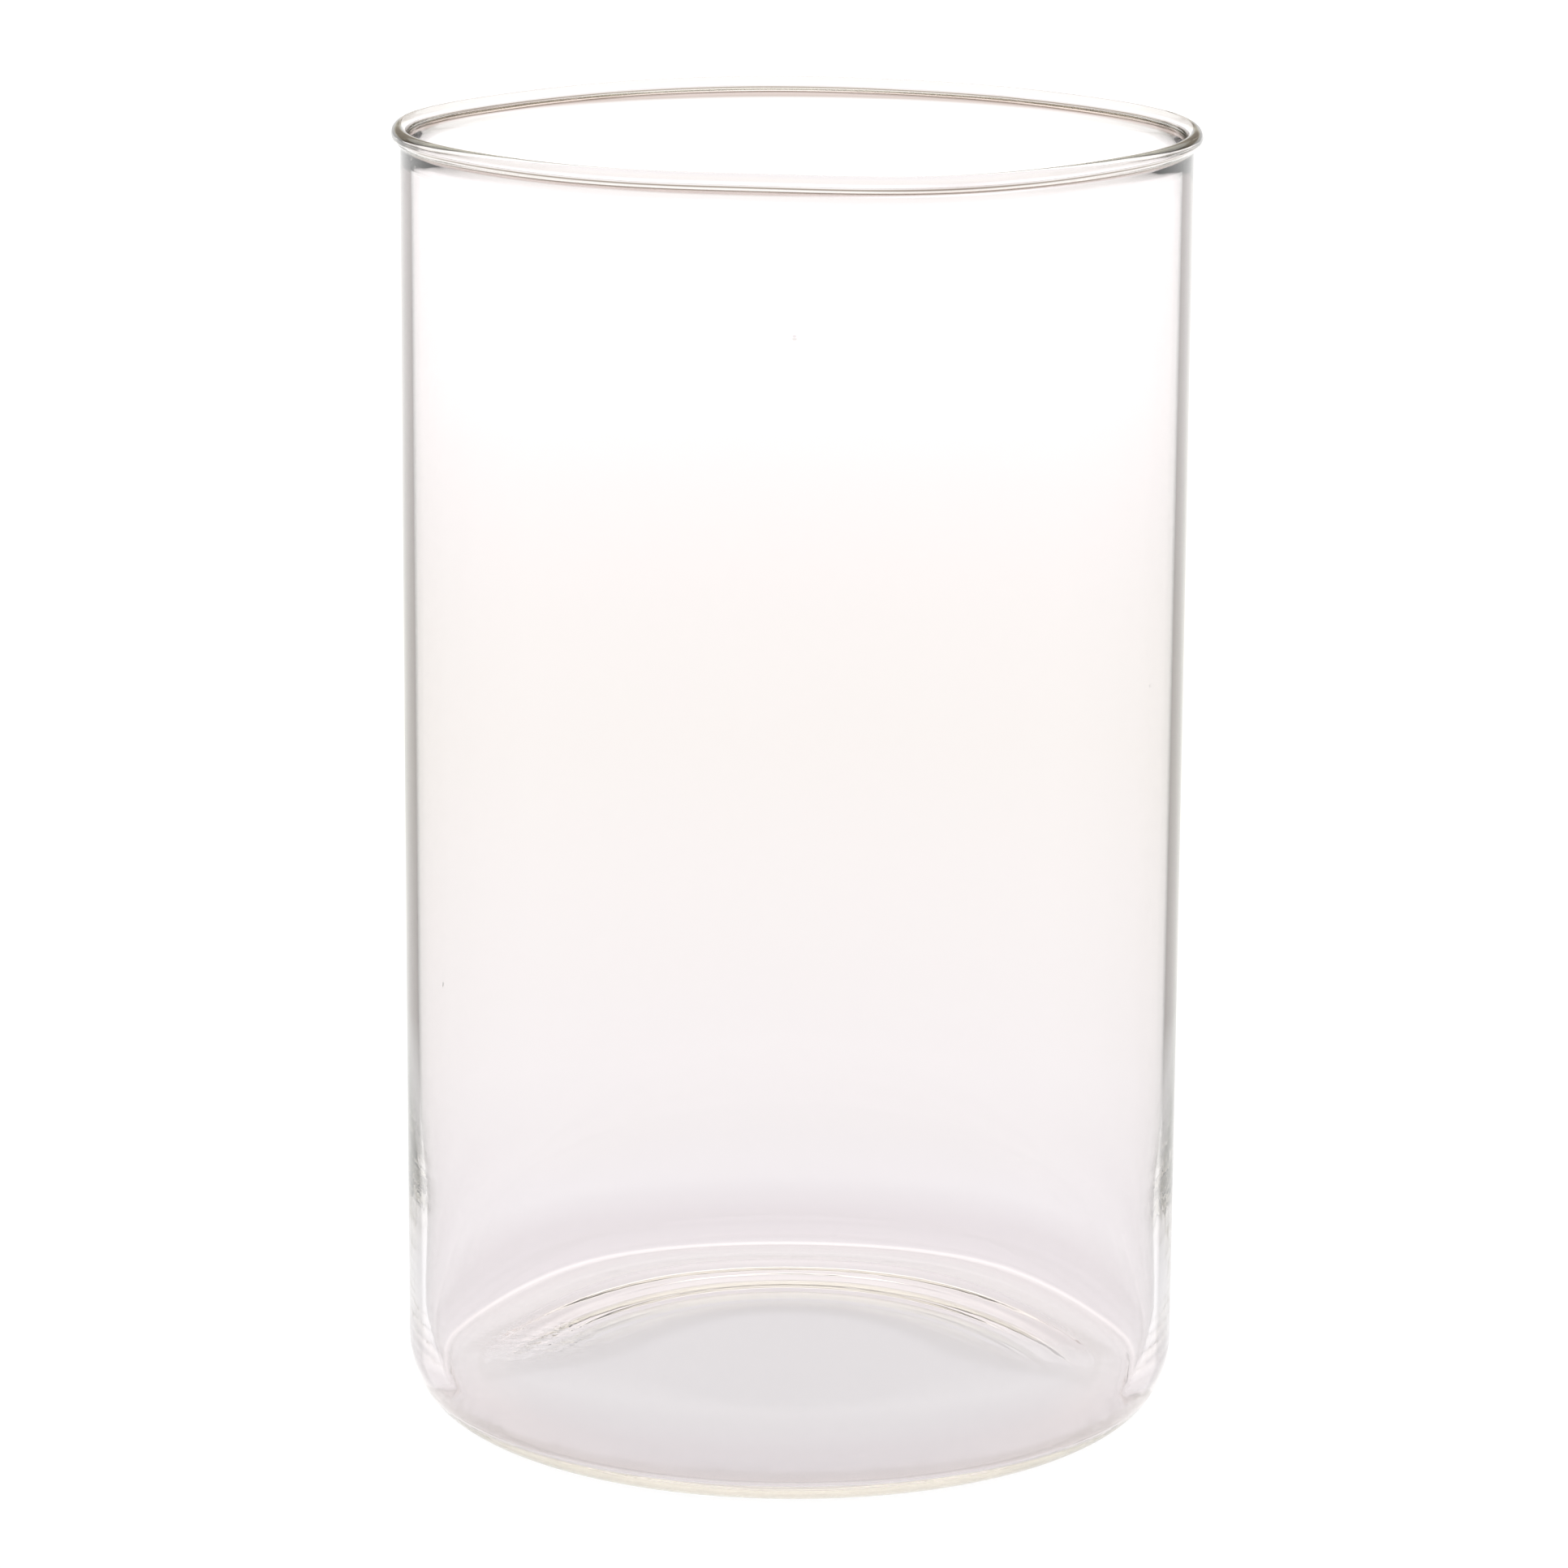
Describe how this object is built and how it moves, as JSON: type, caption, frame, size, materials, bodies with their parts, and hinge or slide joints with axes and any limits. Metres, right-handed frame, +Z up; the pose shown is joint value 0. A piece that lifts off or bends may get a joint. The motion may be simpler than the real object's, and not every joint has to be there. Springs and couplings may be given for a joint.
{
  "type": "glass cylinder vase",
  "caption": "Tall clear glass cylinder vase, open at the top, with a rolled lip, a rounded heel and a shallow recess under the base.",
  "frame": {"origin": "centre of the flat face the vase stands on", "axes": "+Z up along the vase's axis, out of the mouth; the vase is round, so +X and +Y are any two directions across it"},
  "size_m": [0.1532, 0.1532, 0.25],
  "materials": {
    "clear_glass": "clear, fire-polished"
  },
  "bodies": {
    "root": {"rim_bead": "clear_glass", "cylinder_wall": "clear_glass", "heel_ring": "clear_glass", "foot_ring": "clear_glass", "base_floor": "clear_glass"}
  },
  "joints": []
}
